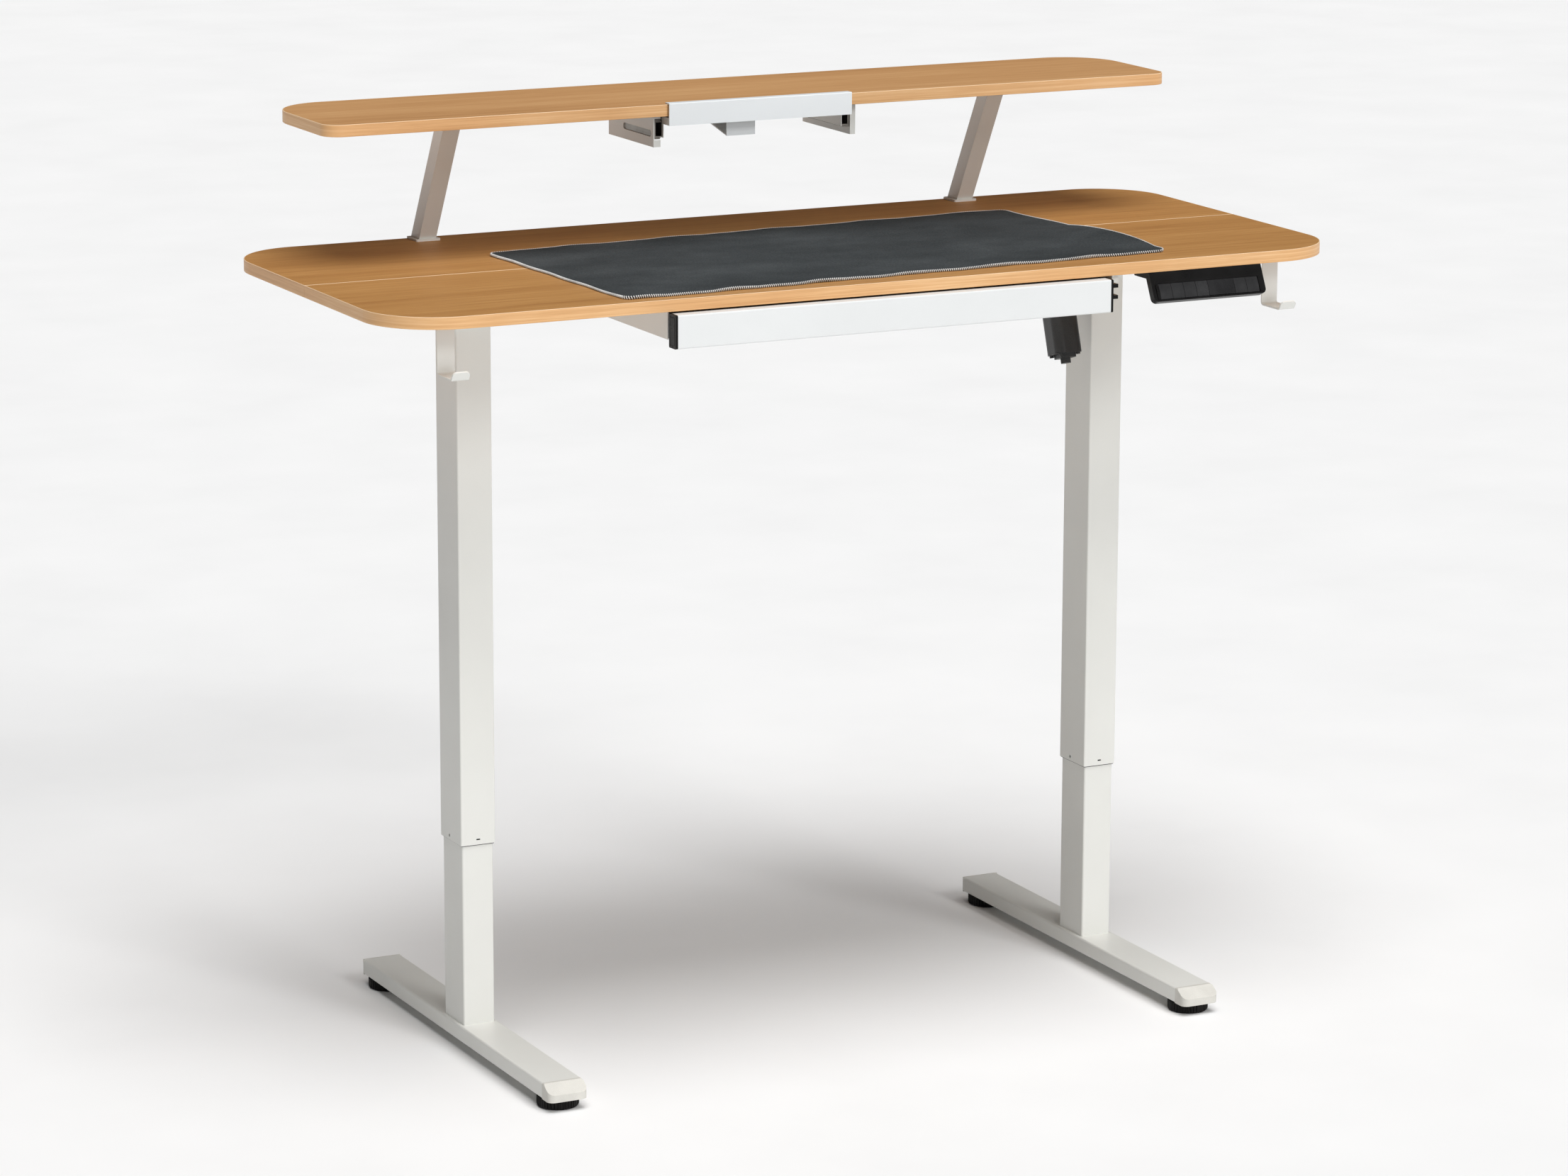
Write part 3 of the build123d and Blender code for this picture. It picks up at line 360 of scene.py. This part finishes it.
def tube(bm, points, radius, sides=6, index=0, closed=False):
    """A round thread along a run of points."""
    rings = []
    count = len(points)
    for i, point in enumerate(points):
        if closed:
            ahead, behind = points[(i + 1) % count], points[i - 1]
        else:
            ahead, behind = points[min(i + 1, count - 1)], points[max(i - 1, 0)]
        along = (ahead - behind).normalized()
        side = along.cross(Vector((0, 0, 1)))
        if side.length < 0.1:
            side = along.cross(Vector((1, 0, 0)))
        side.normalize()
        up = side.cross(along)
        ring = []
        for k in range(sides):
            a = 2 * pi * k / sides
            ring.append(bm.verts.new(point + (side * cos(a) + up * sin(a)) * radius))
        rings.append(ring)
    pairs = list(zip(rings, rings[1:]))
    if closed:
        pairs.append((rings[-1], rings[0]))
    for a, b in pairs:
        for k in range(sides):
            face = bm.faces.new((a[k], a[(k + 1) % sides], b[(k + 1) % sides], b[k]))
            face.material_index = index
    if not closed:
        bm.faces.new(rings[0][::-1]).material_index = index
        bm.faces.new(rings[-1]).material_index = index


# ---------------------------------------------------------------- desk mat
MAT_HALF = Vector((0.400, 0.200))
MAT_R = 0.012
MAT_T = 0.0026
MAT_MIDDLE = Vector((0.024, -0.062))
MAT_TURN = radians(2.5)
DESK_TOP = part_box("desk_mat")[0][2]
MAT_GAP = 0.0003
EDGE_STEPS = 8

# The overlock stitch
STITCH_STEP = 0.0029
STITCH_R = 0.00085
WRAP_R = 0.0021
CORD_R = 0.0016
CORD_OUT = 0.0002
STITCH_LOW = 0.0009
WRAP_FROM, WRAP_SWEEP, WRAP_BENDS = 62, 150, 6
SLANT_FROM, SLANT_SPAN = 0.15, 0.6

# The bulge and lift of the right side
BULGE = 0.012
LEFT_OUT = 0.0035
LIFT_WAVE = 0.0075


def round_corner(u, v):
    """Moves a point of the square grid onto the mat's rounded outline."""
    du = abs(u) - (MAT_HALF.x - MAT_R)
    dv = abs(v) - (MAT_HALF.y - MAT_R)
    if du <= 0 or dv <= 0:
        return u, v
    pull = max(du, dv) / hypot(du, dv)
    u = (MAT_HALF.x - MAT_R + du * pull) * (1 if u > 0 else -1)
    v = (MAT_HALF.y - MAT_R + dv * pull) * (1 if v > 0 else -1)
    return u, v


def smooth_step(a, b, x):
    """Rises smoothly from 0 where x is a to 1 where x is b."""
    t = min(1.0, max(0.0, (x - a) / (b - a)))
    return t * t * (3 - 2 * t)


def mat_point(u, v, lift=0.0):
    """Where a point of the mat lies: its edges wave, and its right side is drawn out and lifts."""
    near_right = smooth_step(0.30, 0.40, u)
    near_front = smooth_step(-0.165, -0.2, v)
    near_back = smooth_step(0.165, 0.2, v)
    near_left = smooth_step(-0.36, -0.40, u)
    corner = smooth_step(0.30, -0.20, v)
    bulge = near_right * (0.003 * sin((v + 0.2) * 31) + BULGE * corner)
    sway = near_front * (0.0014 * sin(u * 47) + 0.0010 * sin(u * 101 + 2))
    sway += near_back * (0.0016 * sin(u * 41 + 1.3) + 0.0008 * sin(u * 83))
    side = near_left * (0.0010 * sin(v * 60 + 0.4) - LEFT_OUT)
    x = u + bulge + side
    y = v + sway
    wave = LIFT_WAVE * near_right * max(0.0, sin((v + 0.17) * 15)) * (1 - near_front)
    wave += 0.0011 * near_front * max(0.0, sin(u * 47 + 0.6))
    wave += 0.0007 * near_back * max(0.0, sin(u * 41))
    wave += 0.00035 * (noise.noise(Vector((u * 7, v * 7, 0.3))) + 0.6)
    turned = Vector((x * cos(MAT_TURN) - y * sin(MAT_TURN), x * sin(MAT_TURN) + y * cos(MAT_TURN)))
    place = MAT_MIDDLE + turned
    return Vector((place.x, place.y, DESK_TOP + MAT_GAP + wave + lift))


def grid_lines(half, inner, steps):
    """Grid places across the mat: even inside, closer together at its edges."""
    even = [inner * (2 * i / steps - 1) for i in range(steps + 1)]
    edge = [inner + (half - inner) * k / EDGE_STEPS for k in range(1, EDGE_STEPS + 1)]
    return [-e for e in reversed(edge)] + even + edge


def build_mat():
    """The cloth: a top and a bottom sheet with a closed rim."""
    us = grid_lines(MAT_HALF.x, MAT_HALF.x - MAT_R, 200)
    vs = grid_lines(MAT_HALF.y, MAT_HALF.y - MAT_R, 100)
    bm = bmesh.new()
    top, bottom = {}, {}
    for i, u in enumerate(us):
        for j, v in enumerate(vs):
            ru, rv = round_corner(u, v)
            top[i, j] = bm.verts.new(mat_point(ru, rv, MAT_T))
            bottom[i, j] = bm.verts.new(mat_point(ru, rv))
    last_i, last_j = len(us) - 1, len(vs) - 1
    for i in range(last_i):
        for j in range(last_j):
            bm.faces.new((top[i, j], top[i + 1, j], top[i + 1, j + 1], top[i, j + 1]))
            bm.faces.new((bottom[i, j + 1], bottom[i + 1, j + 1], bottom[i + 1, j], bottom[i, j]))
    rim = [(i, 0) for i in range(last_i)] + [(last_i, j) for j in range(last_j)]
    rim += [(i, last_j) for i in range(last_i, 0, -1)] + [(0, j) for j in range(last_j, 0, -1)]
    for a, b in zip(rim, rim[1:] + rim[:1]):
        bm.faces.new((bottom[a], bottom[b], top[b], top[a]))
    return new_piece("desk_mat_cloth", bm, [CLOTH])


def outline_points(step):
    """Even points round the mat's outline, as (u, v, outward u, outward v)."""
    points = []
    hx, hy = MAT_HALF.x - MAT_R, MAT_HALF.y - MAT_R
    corners = ((hx, -hy, -90), (hx, hy, 0), (-hx, hy, 90), (-hx, -hy, 180))
    for k, (cx, cy, start) in enumerate(corners):
        arc = max(4, int(MAT_R * pi / 2 / step))
        for a in range(arc):
            angle = radians(start + 90 * a / arc)
            ou, ov = cos(angle), sin(angle)
            points.append((cx + MAT_R * ou, cy + MAT_R * ov, ou, ov))
        nx, ny, _ = corners[(k + 1) % 4]
        angle = radians(start + 90)
        out = (cos(angle), sin(angle))
        length = hypot(nx - cx, ny - cy)
        count = int(length / step)
        for i in range(count):
            t = i / count
            points.append((
                cx + (nx - cx) * t + MAT_R * out[0],
                cy + (ny - cy) * t + MAT_R * out[1],
                out[0],
                out[1],
            ))
    return points


def build_overlock():
    """The overlock stitch: pale slanted threads on the outer side of a dark cord."""
    spots = outline_points(STITCH_STEP)
    bm = bmesh.new()
    cord = []
    for u, v, ou, ov in spots:
        cord.append(mat_point(u + ou * CORD_OUT, v + ov * CORD_OUT, MAT_T * 0.5))
    tube(bm, cord, CORD_R, sides=8, index=1, closed=True)
    for (u, v, ou, ov), (nu, nv, nou, nov) in zip(spots, spots[1:] + spots[:1]):
        path = []
        for k in range(WRAP_BENDS + 1):
            t = k / WRAP_BENDS
            angle = radians(WRAP_FROM - WRAP_SWEEP * t)
            share = SLANT_FROM + SLANT_SPAN * t
            mu, mv = u + (nu - u) * share, v + (nv - v) * share
            wu, wv = ou + (nou - ou) * share, ov + (nov - ov) * share
            out = WRAP_R * cos(angle)
            up = WRAP_R * sin(angle)
            p = mat_point(mu + wu * out, mv + wv * out, MAT_T * 0.5 + up)
            p.z = max(p.z, DESK_TOP + STITCH_LOW)
            path.append(p)
        tube(bm, path, STITCH_R)
    return new_piece("desk_mat_overlock", bm, [THREAD, DARK_THREAD])


mat_cloth = build_mat()
overlock = build_overlock()
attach(mat_cloth, "upper")
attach(overlock, "upper")
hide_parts("desk_mat")


# ---------------------------------------------------------------- floor, light, camera
def build_floor():
    """A pale floor, wide enough to reach beyond the picture."""
    bm = bmesh.new()
    size, steps = 90.0, 30
    rows = []
    for j in range(steps + 1):
        y = -size / 2 + size * j / steps
        rows.append([bm.verts.new((-size / 2 + size * i / steps, y, 0)) for i in range(steps + 1)])
    for j in range(steps):
        for i in range(steps):
            bm.faces.new((rows[j][i], rows[j][i + 1], rows[j + 1][i + 1], rows[j + 1][i]))
    s = Shader("pale_floor", roughness=0.85, specular=0.1)
    s.colour(s.ramp(s.noise((3, 3, 3), detail=3), (0.3, srgb(247, 247, 247)),
                    (0.7, srgb(251, 251, 251))))
    floor = new_piece("floor", bm, [s.mat])


def sun(name, direction, strength, spread):
    """A far soft light that shines along a direction."""
    data = bpy.data.lights.new(name, "SUN")
    data.energy = strength
    data.angle = radians(spread)
    obj = bpy.data.objects.new(name, data)
    bpy.context.scene.collection.objects.link(obj)
    obj.rotation_euler = Vector(direction).to_track_quat("-Z", "Y").to_euler()


def build_world(strength):
    """A faint white surround that fills the shadows."""
    world = bpy.data.worlds.new("studio")
    bpy.context.scene.world = world
    world.use_nodes = True
    background = world.node_tree.nodes["Background"]
    background.inputs["Color"].default_value = (1, 1, 1, 1)
    background.inputs["Strength"].default_value = strength


def build_camera():
    """The view from the front left, a little above the desktop."""
    place = (-3.180, -6.344, 2.211)
    yaw, pitch, roll = radians(26.589), radians(12.903), radians(0.2016)
    ahead0 = Vector((sin(yaw), cos(yaw), 0))
    right0 = Vector((cos(yaw), -sin(yaw), 0))
    up0 = Vector((0, 0, 1))
    ahead = cos(pitch) * ahead0 - sin(pitch) * up0
    up = sin(pitch) * ahead0 + cos(pitch) * up0
    right = cos(roll) * right0 + sin(roll) * up
    up = -sin(roll) * right0 + cos(roll) * up
    data = bpy.data.cameras.new("camera")
    data.sensor_width = 36
    data.lens = 122.0
    data.clip_start, data.clip_end = 0.1, 100
    obj = bpy.data.objects.new("camera", data)
    bpy.context.scene.collection.objects.link(obj)
    turn = Matrix((right, up, -ahead)).transposed()
    obj.matrix_world = Matrix.Translation(place) @ turn.to_4x4()
    bpy.context.scene.camera = obj


build_floor()
build_world(0.07)
sun("key", (-0.20, 0.82, -0.55), 0.86, 18)
sun("fill", (-0.14, 0.98, -0.10), 0.60, 36)
sun("top", (0.02, 0.30, -0.95), 2.45, 45)
build_camera()
bpy.context.scene.view_settings.view_transform = "Standard"
